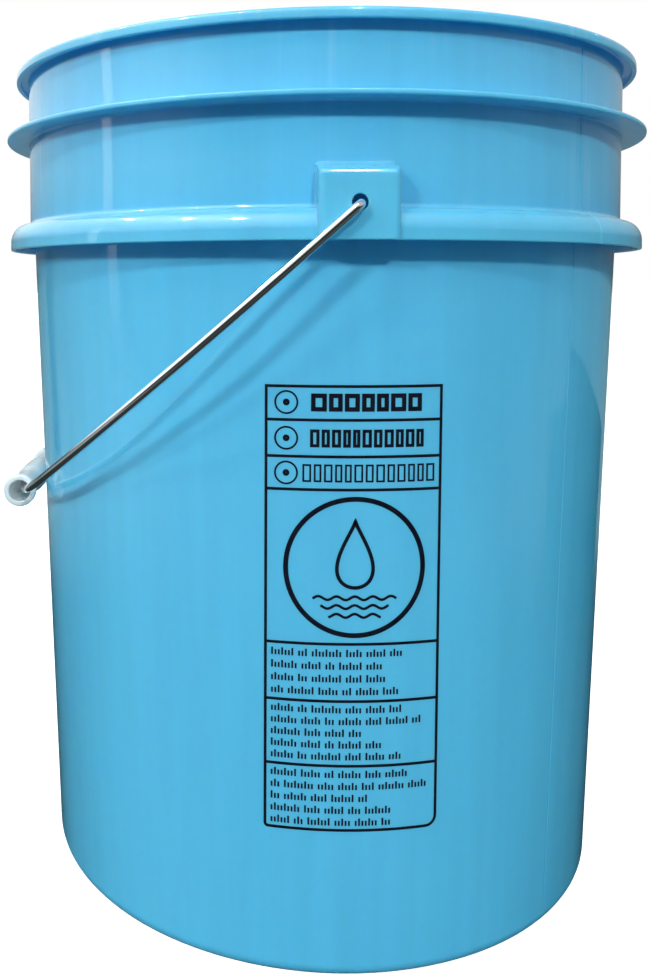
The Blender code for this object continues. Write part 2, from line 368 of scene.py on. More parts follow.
def under_skirt_path():
    """Up the skirt's inside, across its web and down the neck."""
    web_z = SKIRT_Z + 0.0095
    return rounded([
        (SKIRT_R - 0.0010, SKIRT_Z, 0.0),
        (SKIRT_R - 0.0019, SKIRT_Z, 0.0004),
        (SKIRT_R - 0.0024, SKIRT_Z + 0.0040, 0.006),
        (SKIRT_R - 0.0052, web_z, 0.0035),
        (NECK_R + 0.0002, web_z, 0.0009),
        (NECK_R, SKIRT_Z, 0.0),
    ])


def pocket_path():
    """The same stretch inside an ear: up its face, across its top and down the wall."""
    front = EAR_FACE - EAR_WALL
    return rounded([
        (EAR_FACE - 0.0010, SKIRT_Z, 0.0),
        (front, SKIRT_Z, 0.0004),
        (front, POCKET_TOP, 0.0015),
        (POCKET_BACK, POCKET_TOP, 0.0010),
        (POCKET_BACK, POCKET_STEP_Z, 0.0006),
        (NECK_R + 0.0001, POCKET_STEP_Z - 0.0012, 0.0006),
        (NECK_R, SKIRT_Z, 0.0),
    ])


def bottom_path():
    """Down the tapered wall, round the foot and under the floor to the gate mark."""
    corner_r = lower_wall_r(0.0)
    ring = 0.0004
    return rounded([
        (NECK_R, SKIRT_Z, 0.0),
        (corner_r, 0.0, CORNER_R),
        (FOOT_IN_R, 0.0, 0.0005),
        (FOOT_IN_R - 0.0016, RECESS_Z, 0.0008),
        (0.0780, RECESS_Z, 0.0002),
        (0.0776, RECESS_Z - ring, 0.0002),
        (0.0766, RECESS_Z - ring, 0.0002),
        (0.0762, RECESS_Z, 0.0002),
        (0.0300, RECESS_Z, 0.0),
        (0.0120, RECESS_Z + ring, 0.0),
        (GATE_R + 0.0005, RECESS_Z + ring, 0.0003),
        (GATE_R, GATE_Z, 0.0003),
        (0.0010, GATE_Z, 0.0),
    ])


def ear_front(z):
    """Distance of an ear's outer face from the axis at a height; it slopes back at the top."""
    slope = (EAR_TOP_BACK - EAR_TOP_FRONT) / (EAR_FACE - UPPER_R)
    tilt = math.atan(slope)
    turn = math.pi / 2 - tilt
    reach = EAR_ROUND * math.tan(turn / 2)
    start_z = EAR_TOP_FRONT - reach
    if z <= start_z:
        return EAR_FACE
    end_z = start_z + EAR_ROUND * math.sin(turn)
    if z <= end_z:
        rise = (z - start_z) / EAR_ROUND
        return EAR_FACE - EAR_ROUND * (1 - math.sqrt(max(0.0, 1 - rise * rise)))
    end_y = EAR_FACE - EAR_ROUND * (1 - math.cos(turn))
    return end_y - (z - end_z) / slope


def smooth_max(a, b, width):
    """The larger of two values, with a soft change from one to the other."""
    gap = max(width - abs(a - b), 0.0) / width
    return max(a, b) + gap * gap * width / 4


def blend_x(radius, k):
    """Where the k-th column beyond an ear's fillet crosses the wall."""
    start = EAR_HALF_WIDTH + EAR_FILLET
    end = radius * math.sin(math.radians(EAR_SPAN_DEG))
    return lerp(start, end, k / BLEND_COLUMNS)


def plain_section(radius):
    """Half a plain arc of the pail across an ear's columns, as (x, y) points."""
    xs = []
    flat = EAR_HALF_WIDTH - EAR_ROUND
    for k in range(FACE_COLUMNS + 1):
        xs.append(flat * k / FACE_COLUMNS)
    rest = CORNER_COLUMNS + SIDE_COLUMNS + FILLET_COLUMNS
    for k in range(1, rest + 1):
        xs.append(flat + (EAR_ROUND + EAR_FILLET) * k / rest)
    scale = radius / UPPER_R
    xs = [x * scale for x in xs]
    start = xs[-1]
    end = radius * math.sin(math.radians(EAR_SPAN_DEG))
    for k in range(1, BLEND_COLUMNS + 1):
        xs.append(lerp(start, end, k / BLEND_COLUMNS))
    return [(x, math.sqrt(radius * radius - x * x)) for x in xs]


def boss_section(radius, z):
    """Half the outline of the wall with an ear on it, at one height."""
    front = ear_front(z)

    def wall_y(x):
        return math.sqrt(radius * radius - x * x)

    def on_top(x, y):
        return (x, smooth_max(y, wall_y(x), EAR_SOFT))

    flat = EAR_HALF_WIDTH - EAR_ROUND
    points = [on_top(flat * k / FACE_COLUMNS, front) for k in range(FACE_COLUMNS + 1)]
    for k in range(1, CORNER_COLUMNS + 1):
        angle = math.radians(90.0 * k / CORNER_COLUMNS)
        x = flat + EAR_ROUND * math.sin(angle)
        points.append(on_top(x, front - EAR_ROUND * (1 - math.cos(angle))))
    side_top = front - EAR_ROUND
    foot_x = EAR_HALF_WIDTH + EAR_FILLET
    foot_y = wall_y(foot_x)
    side_length = side_top - foot_y - EAR_FILLET
    deep = min(1.0, max(0.0, side_length / EAR_SIDE_FULL))
    steps = SIDE_COLUMNS + FILLET_COLUMNS
    for k in range(1, steps + 1):
        spread_x = EAR_HALF_WIDTH + EAR_FILLET * k / steps
        if k <= SIDE_COLUMNS:
            x = EAR_HALF_WIDTH
            y = side_top - side_length * k / SIDE_COLUMNS
        else:
            angle = math.radians(90.0 * (k - SIDE_COLUMNS) / FILLET_COLUMNS)
            x = EAR_HALF_WIDTH + EAR_FILLET * (1 - math.cos(angle))
            y = foot_y + EAR_FILLET * (1 - math.sin(angle))
        x = lerp(spread_x, x, deep)
        y = lerp(wall_y(spread_x), y, deep)
        points.append((x, max(y, wall_y(x))))
    for k in range(1, BLEND_COLUMNS + 1):
        x = blend_x(radius, k)
        points.append((x, wall_y(x)))
    return points


def pocket_section(plain, pocket, flatness):
    """Half the outline of the space behind an ear, at one step of its path.

    plain and pocket are the (radius, z) points that the path has outside the ear and
    inside it; flatness says how far the pocket's side is a plane and not an arc.
    """
    corner = 0.0010
    dip = 0.12                 # share of the way to the wall that the corner takes
    points = []

    def mixed(x, share):
        plain_y = math.sqrt(plain[0] ** 2 - x * x)
        pocket_y = lerp(math.sqrt(pocket[0] ** 2 - x * x), pocket[0], flatness)
        points.append((x, lerp(plain_y, pocket_y, share), lerp(plain[1], pocket[1], share)))

    flat = POCKET_HALF_WIDTH - corner
    for k in range(FACE_COLUMNS + 1):
        mixed(flat * k / FACE_COLUMNS, 1.0)
    for k in range(1, CORNER_COLUMNS + 1):
        angle = math.radians(90.0 * k / CORNER_COLUMNS)
        mixed(flat + corner * math.sin(angle), 1.0 - dip * (1 - math.cos(angle)))
    for k in range(1, SIDE_COLUMNS + 1):
        mixed(POCKET_HALF_WIDTH, (1.0 - dip) * (1 - k / SIDE_COLUMNS))
    foot_x = EAR_HALF_WIDTH + EAR_FILLET
    for k in range(1, FILLET_COLUMNS + 1):
        mixed(lerp(POCKET_HALF_WIDTH, foot_x, k / FILLET_COLUMNS), 0.0)
    for k in range(1, BLEND_COLUMNS + 1):
        mixed(blend_x(plain[0], k), 0.0)
    return points


def plain_angles():
    """Angles from the -Y ear between its fine arc and the next ear's, parting line included."""
    start, end = EAR_SPAN_DEG, 180.0 - EAR_SPAN_DEG
    width = math.degrees(PARTING_HALF_WIDTH / UPPER_R)
    groove = [PARTING_DEG + width * step for step in (-1.0, -0.5, 0.0, 0.5, 1.0)]
    angles = []
    for low, high in ((start, groove[0]), (groove[-1], end)):
        steps = math.ceil((high - low) / TURN_DEG)
        angles += [lerp(low, high, k / steps) for k in range(steps + 1)]
    return sorted(set(angles + groove))


def parting_lift(angle_deg):
    """How far out the parting line moves the skin at an angle: below zero, as it is a groove."""
    width = math.degrees(PARTING_HALF_WIDTH / UPPER_R)
    away = abs(angle_deg - PARTING_DEG) / width
    return -PARTING_DEEP * max(0.0, 1.0 - away * away)


def pail_rows():
    """Every row of the pail's skin, from the inside floor over the rim to the underside.

    A row is (half ear section, radius, z, lift); lift is 1 where the parting line runs.
    """
    rows = []

    def plain_row(radius, z, lift):
        rows.append(([(x, y, z) for x, y in plain_section(radius)], radius, z, lift))

    for radius, z in inside_path():
        plain_row(radius, z, 0.0)
    for radius, z in rim_path()[1:-1]:
        plain_row(radius, z, 1.0)
    for radius, z in skirt_path():
        if z > EAR_TOP_BACK + EAR_CLEAR:
            section = plain_section(radius)
        else:
            section = boss_section(radius, z)
            if z < SKIRT_Z + SKIRT_ROUND:      # an ear's lower edge is rounded like the skirt's
                pull = SKIRT_R - radius
                section = [(x, y - pull) if y > SKIRT_R else (x, y) for x, y in section]
        rows.append(([(x, y, z) for x, y in section], radius, z, 1.0))
    plain = resampled(under_skirt_path(), UNDER_STEPS + 1)
    pocket = resampled(pocket_path(), UNDER_STEPS + 1)
    for i in range(1, UNDER_STEPS + 1):
        flatness = min(1.0, max(0.0, (pocket[i][0] - POCKET_BACK) / 0.006))
        on_neck = plain[i][0] < NECK_R + 0.0005
        section = pocket_section(plain[i], pocket[i], flatness)
        rows.append((section, *plain[i], 1.0 if on_neck else 0.0))
    for radius, z in bottom_path()[1:]:
        plain_row(radius, z, 1.0 if z > CORNER_R else 0.0)
    return rows


def full_row(section, radius, z, lift):
    """One closed ring of points, starting at the middle of the -Y ear and going towards +X."""
    ring = []
    angles = plain_angles()
    for turn in (0, 1):
        sign = -1.0 if turn else 1.0
        near = [(x, -y, h) for x, y, h in section]
        arc_points = []
        for angle in angles[1:-1]:
            a = math.radians(angle)
            r = radius + lift * parting_lift(angle)
            arc_points.append((r * math.sin(a), -r * math.cos(a), z))
        far = [(x, y, h) for x, y, h in reversed(section)]
        half = near + arc_points + far[:-1]
        ring += [(sign * x, sign * y, h) for x, y, h in half]
    return ring


def pail_skin():
    """The pail's skin as one closed mesh of rings, with a fan at each end."""
    bm = bmesh.new()
    rings = []
    for row in pail_rows():
        rings.append([bm.verts.new(point) for point in full_row(*row)])
    for a, b in zip(rings, rings[1:]):
        join_rings(bm, a, b)
    for ring, z in ((rings[0], FLOOR_Z), (rings[-1], GATE_Z)):
        centre = bm.verts.new((0.0, 0.0, z))
        for k in range(len(ring)):
            bm.faces.new((ring[k], ring[(k + 1) % len(ring)], centre))
    return built(bm, "pail_shell")


def gusset_tool():
    """The gussets inside the skirt, buried in the skirt and the wall."""
    outline = [
        (NECK_R - 0.0008, GUSSET_Z),
        (SKIRT_R - 0.0013, GUSSET_Z),
        (SKIRT_R - 0.0013, SKIRT_Z + 0.0055),
        (SKIRT_R - 0.0028, SKIRT_Z + 0.0081),
        (SKIRT_R - 0.0050, SKIRT_Z + 0.0103),
        (NECK_R - 0.0008, SKIRT_Z + 0.0107),
    ]
    bm = bmesh.new()
    for i in range(GUSSETS):
        turn = Matrix.Rotation(math.tau * (i + 0.5) / GUSSETS, 4, "Z")
        sides = []
        for x in (-GUSSET_THICK / 2, GUSSET_THICK / 2):
            sides.append([bm.verts.new(turn @ Vector((x, r, z))) for r, z in outline])
        bm.faces.new(sides[0])
        bm.faces.new(list(reversed(sides[1])))
        for k in range(len(outline)):
            n = (k + 1) % len(outline)
            bm.faces.new((sides[0][n], sides[0][k], sides[1][k], sides[1][n]))
    return built(bm, "gussets")


def hole_tool():
    """Drills for the two pin holes, flared at the outer end to round the hole's edge."""
    clear = 0.0020
    flare = HOLE_R + HOLE_ROUND
    profile = [(flare, EAR_FACE + clear), (flare, EAR_FACE)]
    for radius, y in arc((flare, EAR_FACE - HOLE_ROUND), HOLE_ROUND, 90.0, 180.0, 4)[1:]:
        profile.append((radius, y))
    profile.append((HOLE_R, EAR_FACE - EAR_WALL - clear))
    bm = bmesh.new()
    turns = [math.tau * k / HOLE_SIDES for k in range(HOLE_SIDES)]
    for sign in (-1.0, 1.0):
        rings = []
        for radius, y in profile:
            rings.append([
                bm.verts.new((radius * math.cos(a), sign * y, HOLE_Z + radius * math.sin(a)))
                for a in turns
            ])
        for a, b in zip(rings, rings[1:]):
            join_rings(bm, a, b)
        bm.faces.new(rings[0])
        bm.faces.new(rings[-1])
    return built(bm, "pin_holes")


def boolean(target, tool, operation):
    """Apply a Boolean and remove its tool."""
    modifier = target.modifiers.new(tool.name, "BOOLEAN")
    modifier.operation = operation
    modifier.solver = "EXACT"
    modifier.object = tool
    depsgraph = bpy.context.evaluated_depsgraph_get()
    mesh = bpy.data.meshes.new_from_object(target.evaluated_get(depsgraph))
    target.modifiers.clear()
    target.data = mesh
    bpy.data.objects.remove(tool, do_unlink=True)


def drop_slivers(obj):
    """Split the Booleans' many-sided faces and dissolve the slivers they leave."""
    bm = bmesh.new()
    bm.from_mesh(obj.data)
    bmesh.ops.triangulate(bm, faces=[face for face in bm.faces if len(face.verts) > 4])
    bmesh.ops.dissolve_degenerate(bm, dist=SLIVER, edges=bm.edges)
    bm.to_mesh(obj.data)
    bm.free()


def make_pail(mat):
    pail = pail_skin()
    boolean(pail, gusset_tool(), "UNION")
    boolean(pail, hole_tool(), "DIFFERENCE")
    drop_slivers(pail)
    finish_mesh(pail, mat)
    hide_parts("pail")
    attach(pail, "pail")


def bail_points():
    """The wire's centre line in the bail's own frame, from one hook's end to the other."""
    half = [(HOOK_REACH, HOOK_Y, 0.0), (HOOK_REACH - 0.0006, HOOK_Y, 0.0)]
    for x, y in arc((BEND_R, HOOK_Y + BEND_R), BEND_R, -90.0, -180.0, 8):
        half.append((x, y, 0.0))
    for y, z in arc((PIN_OUT, BEND_R), BEND_R, -90.0, 0.0, 10):
        half.append((0.0, y, z))
    leg_steps = 10
    for k in range(1, leg_steps):
        half.append((0.0, BAIL_HALF_WIDTH, lerp(BEND_R, BAIL_LEG, k / leg_steps)))
    crown = [(0.0, y, z) for y, z in arc((0.0, BAIL_LEG), BAIL_HALF_WIDTH, 0.0, 180.0, 160)]
    return half + crown + [(x, -y, z) for x, y, z in reversed(half)]


def bail_matrix():
    """From the bail's own frame, crown towards +Z, to its place at rest."""
    turn = Matrix.Rotation(-math.radians(90.0 + BAIL_REST_DEG), 4, "Y")
    return Matrix.Translation((0.0, 0.0, AXIS_Z)) @ turn


def make_bail(mat):
    """The wire as a tube whose cut ends have a small round."""
    path = bail_points()
    curve = bpy.data.curves.new("bail_wire", "CURVE")
    curve.dimensions = "3D"
    curve.bevel_depth = WIRE_R
    curve.bevel_resolution = 8
    curve.use_fill_caps = True
    spline = curve.splines.new("POLY")
    spline.points.add(len(path) - 1)
    for point, place in zip(spline.points, path):
        point.co = (*place, 1.0)
    for cut in (spline.points[0], spline.points[-1]):
        cut.radius = CUT_SHARE
    source = mesh_object("bail_curve", curve)
    depsgraph = bpy.context.evaluated_depsgraph_get()
    mesh = bpy.data.meshes.new_from_object(source.evaluated_get(depsgraph))
    bpy.data.objects.remove(source, do_unlink=True)
    bm = bmesh.new()
    bm.from_mesh(mesh)
    bmesh.ops.remove_doubles(bm, verts=bm.verts, dist=MERGE)
    bail = built(bm, "bail_wire")
    bail.data.transform(bail_matrix())
    finish_mesh(bail, mat)
    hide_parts("bail")
    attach(bail, "bail")


def grip_profile():
    """The grip's closed section of (radius, along) points: outside, then the bore."""
    flange = 0.0034
    neck_r = GRIP_BORE_R + 0.0007
    half = rounded([
        (GRIP_BORE_R + 0.0004, GRIP_HALF, 0.0),
        (GRIP_R, GRIP_HALF, 0.0012),
        (GRIP_R, GRIP_HALF - flange, 0.0012),
        (neck_r, GRIP_HALF - flange - 0.0026, 0.0024),
        (neck_r, GRIP_HALF - 0.0230, 0.0080),
        (GRIP_R - 0.0009, GRIP_HALF - 0.0290, 0.0100),
        (GRIP_R - 0.0008, 0.0, 0.0),
    ], step_deg=5.0)
    outside = half + [(r, -y) for r, y in reversed(half[:-1])]
    lead_in = 0.0004
    bore = refined([
        (GRIP_BORE_R, -GRIP_HALF + lead_in),
        (GRIP_BORE_R, GRIP_HALF - lead_in),
    ], 0.008)
    return outside + bore


def make_grip(mat):
    """A turned tube with two fine mould seams along it."""
    centre = Vector(joints["grip_spin"]["pos_m"])
    seam_high = 0.00006
    bm = bmesh.new()
    rings = []
    for radius, along in grip_profile():
        outside = radius > GRIP_BORE_R + 0.0010
        ring = []
        for k in range(GRIP_SIDES):
            on_seam = outside and k % (GRIP_SIDES // 2) == GRIP_SIDES // 8
            r = radius + (seam_high if on_seam else 0.0)
            a = math.tau * k / GRIP_SIDES
            place = Vector((r * math.cos(a), along, r * math.sin(a)))
            ring.append(bm.verts.new(centre + place))
        rings.append(ring)
    for a, b in zip(rings, rings[1:] + rings[:1]):
        join_rings(bm, a, b)
    grip = built(bm, "grip_tube")
    finish_mesh(grip, mat)
    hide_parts("grip")
    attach(grip, "grip")


def on_wall(along, z, out):
    """A point on the wall below the -Y ear; along is measured round the wall."""
    radius = lower_wall_r(z)
    angle = along / radius
    return ((radius + out) * math.sin(angle), -(radius + out) * math.cos(angle), z)


def ink_ribbon(bm, points, width, closed=False):
    """A thin solid stroke along a path of (along, z) points on the wall."""
    half = width / 2
    count = len(points)
    rings = []
    for i in range(count):
        if closed:
            before, after = points[i - 1], points[(i + 1) % count]
        else:
            before, after = points[max(0, i - 1)], points[min(count - 1, i + 1)]
        here = Vector(points[i])
        back = (here - Vector(before)).normalized()
        ahead = (Vector(after) - here).normalized()
        run = (back + ahead).normalized()
        side = Vector((-run.y, run.x))
        bend = 1.0
        if closed or 0 < i < count - 1:
            bend = 1.0 / max(0.5, back.dot(run))
        left = here + side * half * bend
        right = here - side * half * bend
        rings.append([
            bm.verts.new(on_wall(*left, -PRINT_SINK)),
            bm.verts.new(on_wall(*left, PRINT_THICK)),
            bm.verts.new(on_wall(*right, PRINT_THICK)),
            bm.verts.new(on_wall(*right, -PRINT_SINK)),
        ])
    pairs = list(zip(rings, rings[1:]))
    if closed:
        pairs.append((rings[-1], rings[0]))
    else:
        bm.faces.new(rings[0])
        bm.faces.new(list(reversed(rings[-1])))
    for a, b in pairs:
        for k in range(4):
            n = (k + 1) % 4
            bm.faces.new((a[n], a[k], b[k], b[n]))


def ink_object(name, mat, draw):
    """One printed piece: draw fills a bmesh with strokes."""
    bm = bmesh.new()
    draw(bm)
    obj = built(bm, name)
    finish_mesh(obj, mat)
    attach(obj, "pail")


def draw_frame(bm):
    """The panel's outline, with its lower corners rounded, and its row rules."""
    inset = PRINT_STROKE / 2
    left, right = PRINT_LEFT + inset, PRINT_RIGHT - inset
    low, top = PRINT_LOW_Z + inset, PRINT_TOP_Z - inset
    outline = rounded([
        (left, top, 0.0),
        (right, top, 0.0),
        (right, low, 0.004),
        (left, low, 0.0012),
        (left, top, 0.0),
    ])
    ink_ribbon(bm, refined(outline, PRINT_STEP)[:-1], PRINT_STROKE, closed=True)
    for z in PRINT_RULES_Z:
        ink_ribbon(bm, refined([(left, z), (right, z)], PRINT_STEP), PRINT_STROKE)


def ring_points(along, z, radius, count):
    """A closed ring of points on the unrolled wall."""
    turns = [math.tau * k / count for k in range(count)]
    return [(along + radius * math.cos(a), z + radius * math.sin(a)) for a in turns]


def draw_headings(bm):
    """A dotted bullet and a row of empty boxes in each of the three heading rows."""
    tops = (PRINT_TOP_Z,) + PRINT_RULES_Z[:2]
    rows = (                   # boxes, stroke, gap, start, end
        (7, 0.0017, 0.0008, -0.0159, 0.0262),
        (11, 0.0012, 0.0008, -0.0162, 0.0271),
        (13, 0.0007, 0.0010, -0.0190, 0.0316),
    )
    uneven = (1.10, 0.95, 1.05, 0.90, 0.85, 1.10, 1.00)    # shares of a row that boxes take
    for top, low, (count, stroke, gap, start, end) in zip(tops, PRINT_RULES_Z[:3], rows):
        middle = (top + low) / 2
        ink_ribbon(bm, ring_points(BULLET_ALONG, middle, BULLET_R, 40), 0.0007, closed=True)
        ink_ribbon(bm, ring_points(BULLET_ALONG, middle, 0.0007, 12), 0.0012, closed=True)
        shares = [uneven[k % len(uneven)] for k in range(count)]
        unit = (end - start - gap * (count - 1)) / sum(shares)
        inset = stroke / 2
        for share in shares:
            left, right = start + inset, start + unit * share - inset
            low_z = middle - BOX_HALF_HEIGHT + inset
            high_z = middle + BOX_HALF_HEIGHT - inset
            box = [(left, low_z), (right, low_z), (right, high_z), (left, high_z), (left, low_z)]
            ink_ribbon(bm, refined(box, 0.003)[:-1], stroke, closed=True)
            start += unit * share + gap


def draw_symbol(bm):
    """A drop over level lines, inside a ring."""
    middle, z = PRINT_RING_ALONG, PRINT_RING_Z
    ink_ribbon(bm, ring_points(middle, z, PRINT_RING_R, 96), PRINT_RING_STROKE, closed=True)
    steps = 48
    drop_z, drop_half, drop_wide = z + 0.0050, 0.0128, 0.0098
    drop = []
    for k in range(steps):
        a = math.tau * k / steps
        wide = drop_wide * math.sin(a) * math.sin(a / 2) ** 1.5
        drop.append((middle + wide, drop_z + drop_half * math.cos(a)))
    ink_ribbon(bm, drop, 0.0014, closed=True)
    for i in range(3):
        reach = 0.0160 - 0.0030 * i
        wave_z = z - 0.0118 - 0.0034 * i
        wave = []
        for k in range(steps + 1):
            x = lerp(-reach, reach, k / steps)
            wave.append((middle + x, wave_z + 0.0007 * math.cos(x / 0.0011)))
        ink_ribbon(bm, wave, 0.0010)


def draw_notes(bm):
    """Rows of short upright ticks, in groups, in the three note boxes."""
    tops = PRINT_RULES_Z[3:]
    lows = PRINT_RULES_Z[4:] + (PRINT_LOW_Z,)
    groups = (7, 3, 9, 5, 6, 4, 8, 6, 3, 7, 5)
    pitch, tick, short, tall = 0.0013, 0.0007, 0.0020, 0.0029
    group = 0
    for top, low, count in zip(tops, lows, (4, 5, 5)):
        line_gap = (top - low) / (count + 0.5)
        for line in range(count):
            z = top - line_gap * (line + 1.0)
            end = PRINT_RIGHT - 0.0030 - 0.006 * ((line * 3 + count) % 4)
            x = PRINT_LEFT + 0.0028
            while x + groups[group % len(groups)] * pitch < end:
                for k in range(groups[group % len(groups)]):
                    height = tall if (k + group) % 3 == 0 else short
                    ink_ribbon(bm, [(x, z + height / 2), (x + tick, z + height / 2)], height)
                    x += pitch
                x += pitch
                group += 1


def make_print(mat):
    ink_object("print_frame", mat, draw_frame)
    ink_object("print_headings", mat, draw_headings)
    ink_object("print_symbol", mat, draw_symbol)
    ink_object("print_notes", mat, draw_notes)


class Nodes:
    """Adds and links the nodes of a new material or world."""

    def __init__(self, name, kind=bpy.data.materials):
        self.made = kind.new(name)
        self.made.use_nodes = True
        self.tree = self.made.node_tree
        self.shader = self.tree.nodes.get("Principled BSDF")

    def add(self, kind, settings=None, inputs=None):
        node = self.tree.nodes.new(kind)
        for key, value in (settings or {}).items():
            setattr(node, key, value)
        for key, value in (inputs or {}).items():
            if isinstance(value, bpy.types.NodeSocket):
                self.tree.links.new(value, node.inputs[key])
            else:
                node.inputs[key].default_value = value
        return node

    def link(self, output, key):
        self.tree.links.new(output, self.shader.inputs[key])

    def set(self, **values):
        for key, value in values.items():
            self.shader.inputs[key.replace("_", " ")].default_value = value

    def place(self):
        return self.add("ShaderNodeTexCoord").outputs["Object"]

    def stretched(self, scale):
        node = self.add("ShaderNodeMapping", inputs={"Vector": self.place(), "Scale": scale})
        return node.outputs["Vector"]

    def axes(self, vector=None):
        """The X, Y and Z outputs of a vector, or else of the place on the surface."""
        vector = vector or self.place()
        return self.add("ShaderNodeSeparateXYZ", inputs={"Vector": vector}).outputs

    def noise(self, vector, scale, detail=2.0, roughness=0.5):
        node = self.add("ShaderNodeTexNoise", inputs={
            "Vector": vector, "Scale": scale, "Detail": detail, "Roughness": roughness})
        return node.outputs["Fac"]

    def maths(self, operation, a, b):
        return self.add("ShaderNodeMath", {"operation": operation}, {0: a, 1: b}).outputs["Value"]

    def rise(self, value, start, end, low=0.0, high=1.0, kind="LINEAR"):
        """A value that goes from low to high while another goes from start to end."""
        node = self.add("ShaderNodeMapRange", {"interpolation_type": kind}, {
            "Value": value, "From Min": start, "From Max": end, "To Min": low, "To Max": high})
        return node.outputs["Result"]

    def spread(self, noise, low, high):
        """Most of a noise's range, turned into a range of values."""
        return self.rise(noise, 0.3, 0.7, low, high)

    def ramp(self, noise, low, high):
        """The same range turned into a range of colours."""
        node = self.add("ShaderNodeValToRGB", inputs={"Fac": noise})
        for element, place, colour in zip(node.color_ramp.elements, (0.3, 0.7), (low, high)):
            element.position = place
            element.color = (*colour, 1.0)
        return node.outputs["Color"]

    def mixed(self, factor, a, b):
        node = self.add("ShaderNodeMix", {"data_type": "RGBA"}, {0: factor, 6: a, 7: b})
        return node.outputs[2]

    def bump(self, height, strength, distance, normal=None):
        inputs = {"Height": height, "Strength": strength, "Distance": distance}
        if normal is not None:
            inputs["Normal"] = normal
        return self.add("ShaderNodeBump", inputs=inputs).outputs["Normal"]


def scuffs(nodes):
    """How far pails stacked inside each other have rubbed the upper bands, in streaks."""
    streak = nodes.noise(nodes.stretched((1.0, 1.0, 0.05)), 230.0, detail=3.0)
    patch = nodes.noise(nodes.stretched((1.0, 1.0, 0.6)), 22.0)
    band = nodes.rise(nodes.axes()["Z"], SKIRT_Z, SKIRT_TOP_Z + 0.004, 0.04, 0.34)
    rub = nodes.maths("MULTIPLY", nodes.rise(streak, 0.55, 0.72), nodes.rise(patch, 0.48, 0.66))
    return nodes.maths("MULTIPLY", rub, band)


def pail_material():
    """Blue polyethylene: a clear gloss over a hazy body, with faint upright flow lines."""
    nodes = Nodes("pail_plastic")
    cloud = nodes.noise(nodes.stretched((1.0, 1.0, 0.35)), 9.0)
    tint = nodes.ramp(cloud, (0.092, 0.510, 0.765), (0.104, 0.540, 0.795))
    flow = nodes.noise(nodes.stretched((1.0, 1.0, 0.04)), 110.0, detail=3.0)
    colour = nodes.add("ShaderNodeVectorMath", {"operation": "SCALE"}, {
        0: tint, "Scale": nodes.spread(flow, 0.95, 1.03)}).outputs["Vector"]
    nodes.link(nodes.mixed(scuffs(nodes), colour, (0.30, 0.66, 0.88, 1.0)), "Base Color")
    rub = nodes.noise(nodes.place(), 60.0, detail=4.0)
    nodes.link(nodes.spread(rub, 0.46, 0.56), "Roughness")
    ripple = nodes.noise(nodes.stretched((1.0, 1.0, 0.10)), 38.0, detail=1.0)
    waves = nodes.bump(ripple, 0.12, 0.0005)
    nodes.link(waves, "Coat Normal")
    skin = nodes.noise(nodes.place(), 900.0)
    nodes.link(nodes.bump(skin, 0.08, 0.0001, waves), "Normal")
    nodes.set(IOR=1.50, Coat_Weight=1.0, Coat_Roughness=0.05, Coat_IOR=1.50,
              Subsurface_Weight=0.50, Subsurface_Scale=0.003, Subsurface_Radius=(0.35, 0.9, 1.4))
    return nodes.made


def wire_material():
    """Bright plated wire with fine drawing marks."""
    nodes = Nodes("bail_wire")
    cloud = nodes.noise(nodes.place(), 45.0, detail=3.0)
    nodes.link(nodes.ramp(cloud, (0.78, 0.78, 0.78), (0.90, 0.90, 0.90)), "Base Color")
    marks = nodes.noise(nodes.place(), 700.0, detail=3.0)
    nodes.link(nodes.spread(marks, 0.06, 0.12), "Roughness")
    nodes.link(nodes.bump(cloud, 0.03, 0.0004), "Normal")
    nodes.set(Metallic=1.0)
    return nodes.made


def grip_material():
    """Milky white plastic that light passes into."""
    nodes = Nodes("grip_plastic")
    cloud = nodes.noise(nodes.place(), 60.0)
    nodes.link(nodes.ramp(cloud, (0.63, 0.74, 0.75), (0.68, 0.78, 0.79)), "Base Color")
    rub = nodes.noise(nodes.place(), 900.0)
    nodes.link(nodes.spread(rub, 0.16, 0.24), "Roughness")
    nodes.link(nodes.bump(rub, 0.03, 0.0001), "Normal")
    nodes.set(IOR=1.50, Subsurface_Weight=0.70, Subsurface_Scale=0.006,
              Subsurface_Radius=(1.0, 1.0, 1.0))
    return nodes.made


def ink_material():
    """Screen-printed ink, slightly uneven."""
    nodes = Nodes("print_ink")
    cloud = nodes.noise(nodes.place(), 300.0, detail=3.0)
    nodes.link(nodes.ramp(cloud, (0.002, 0.002, 0.008), (0.005, 0.006, 0.018)), "Base Color")
    nodes.link(nodes.spread(cloud, 0.40, 0.55), "Roughness")
    nodes.link(nodes.bump(cloud, 0.10, 0.0001), "Normal")
    nodes.set(Specular_IOR_Level=0.25)
    return nodes.made


def floor_material():
    """Pale to look at, and darker in what it gives back to the object."""
    nodes = Nodes("studio_floor")
    pale = nodes.spread(nodes.noise(nodes.place(), 6.0), 0.86, 0.89)
    ray = nodes.add("ShaderNodeLightPath").outputs
    away = nodes.add("ShaderNodeVectorMath", {"operation": "LENGTH"}, {0: nodes.place()})
    far = nodes.rise(away.outputs["Value"], *FLOOR_FADE)
    soft = nodes.mixed(far, (*FLOOR_BOUNCE, 1.0), (*FLOOR_DARK, 1.0))
    lit = nodes.maths("MULTIPLY", far, nodes.rise(nodes.axes()["Y"], *FLOOR_FRONT))
    glossy = nodes.rise(lit, 0.0, 1.0, FLOOR_NEAR, FLOOR_FAR)
    bounce = nodes.mixed(ray["Is Glossy Ray"], soft, glossy)
    nodes.link(nodes.mixed(ray["Is Camera Ray"], bounce, pale), "Base Color")
    glow = nodes.maths("MULTIPLY", ray["Is Camera Ray"], FLOOR_GLOW)
    nodes.link(glow, "Emission Strength")
    nodes.set(Roughness=0.75, Specular_IOR_Level=0.0, Emission_Color=(*WHITE, 1.0))
    return nodes.made


